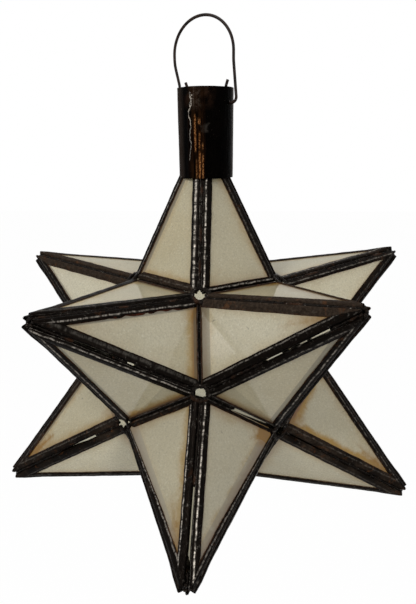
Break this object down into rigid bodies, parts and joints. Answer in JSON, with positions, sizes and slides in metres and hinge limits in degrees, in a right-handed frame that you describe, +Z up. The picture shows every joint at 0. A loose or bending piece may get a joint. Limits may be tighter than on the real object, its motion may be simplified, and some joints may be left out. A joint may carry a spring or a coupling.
{
  "type": "moravian star pendant",
  "caption": "Hanging star lantern of frosted glass pyramids edged in folded dark tin, with a rolled tin collar, a wire bail and a small lampholder inside.",
  "frame": {"origin": "where a hook bears inside the top of the wire bail, on the star's axis", "axes": "+Z up along the star's axis, -Y towards the viewer, where one point looks down at the viewer and two look up left and right"},
  "size_m": [0.2584, 0.2712, 0.3658],
  "materials": {
    "pane_glass": "frosted inside, stained along the edges",
    "came_tin": "dark brown-black lacquered tin, rubbed and rusted at the folds",
    "solder": "tarnished solder",
    "collar_tin": "dark lacquered tin with copper-brown wear",
    "bail_wire": "dark, slightly rusted wire",
    "bridge_steel": "plain steel strip",
    "holder_brass": "aged brass",
    "holder_body": "black moulded body",
    "bulb_cap_metal": "satin",
    "bulb_glass": "clear",
    "filament_stem": "glass stem with a wire filament"
  },
  "bodies": {
    "bail": {"bail": "bail_wire"},
    "lantern": {"bottom_point_cames": "came_tin", "bottom_point_panes": "pane_glass", "bottom_point_solder": "solder", "bulb_cap": "bulb_cap_metal", "bulb_glass": "bulb_glass", "centre_contact": "holder_brass", "collar": "collar_tin", "collar_solder": "solder", "filament_stem": "filament_stem", "lampholder_body": "holder_body", "lampholder_bridge": "bridge_steel", "lampholder_cap": "holder_brass", "lampholder_nipple": "holder_brass", "lock_nut": "holder_brass", "lower_back_left_point_cames": "came_tin", "lower_back_left_point_panes": "pane_glass", "lower_back_left_point_solder": "solder", "lower_back_right_point_cames": "came_tin", "lower_back_right_point_panes": "pane_glass", "lower_back_right_point_solder": "solder", "lower_front_left_point_cames": "came_tin", "lower_front_left_point_panes": "pane_glass", "lower_front_left_point_solder": "solder", "lower_front_point_cames": "came_tin", "lower_front_point_panes": "pane_glass", "lower_front_point_solder": "solder", "lower_front_right_point_cames": "came_tin", "lower_front_right_point_panes": "pane_glass", "lower_front_right_point_solder": "solder", "screw_shell": "holder_brass", "top_point_cames": "came_tin", "top_point_panes": "pane_glass", "top_point_solder": "solder", "upper_back_left_point_cames": "came_tin", "upper_back_left_point_panes": "pane_glass", "upper_back_left_point_solder": "solder", "upper_back_point_cames": "came_tin", "upper_back_point_panes": "pane_glass", "upper_back_point_solder": "solder", "upper_back_right_point_cames": "came_tin", "upper_back_right_point_panes": "pane_glass", "upper_back_right_point_solder": "solder", "upper_front_left_point_cames": "came_tin", "upper_front_left_point_panes": "pane_glass", "upper_front_left_point_solder": "solder", "upper_front_right_point_cames": "came_tin", "upper_front_right_point_panes": "pane_glass", "upper_front_right_point_solder": "solder", "valley_solder": "solder"}
  },
  "joints": [
    {"name": "lantern_swing", "type": "hinge", "parent": "bail", "child": "lantern", "pos_m": [0, 0, -0.04731], "axis": [0.8988, -0.4384, 0], "range_deg": [-30, 30]}
  ]
}
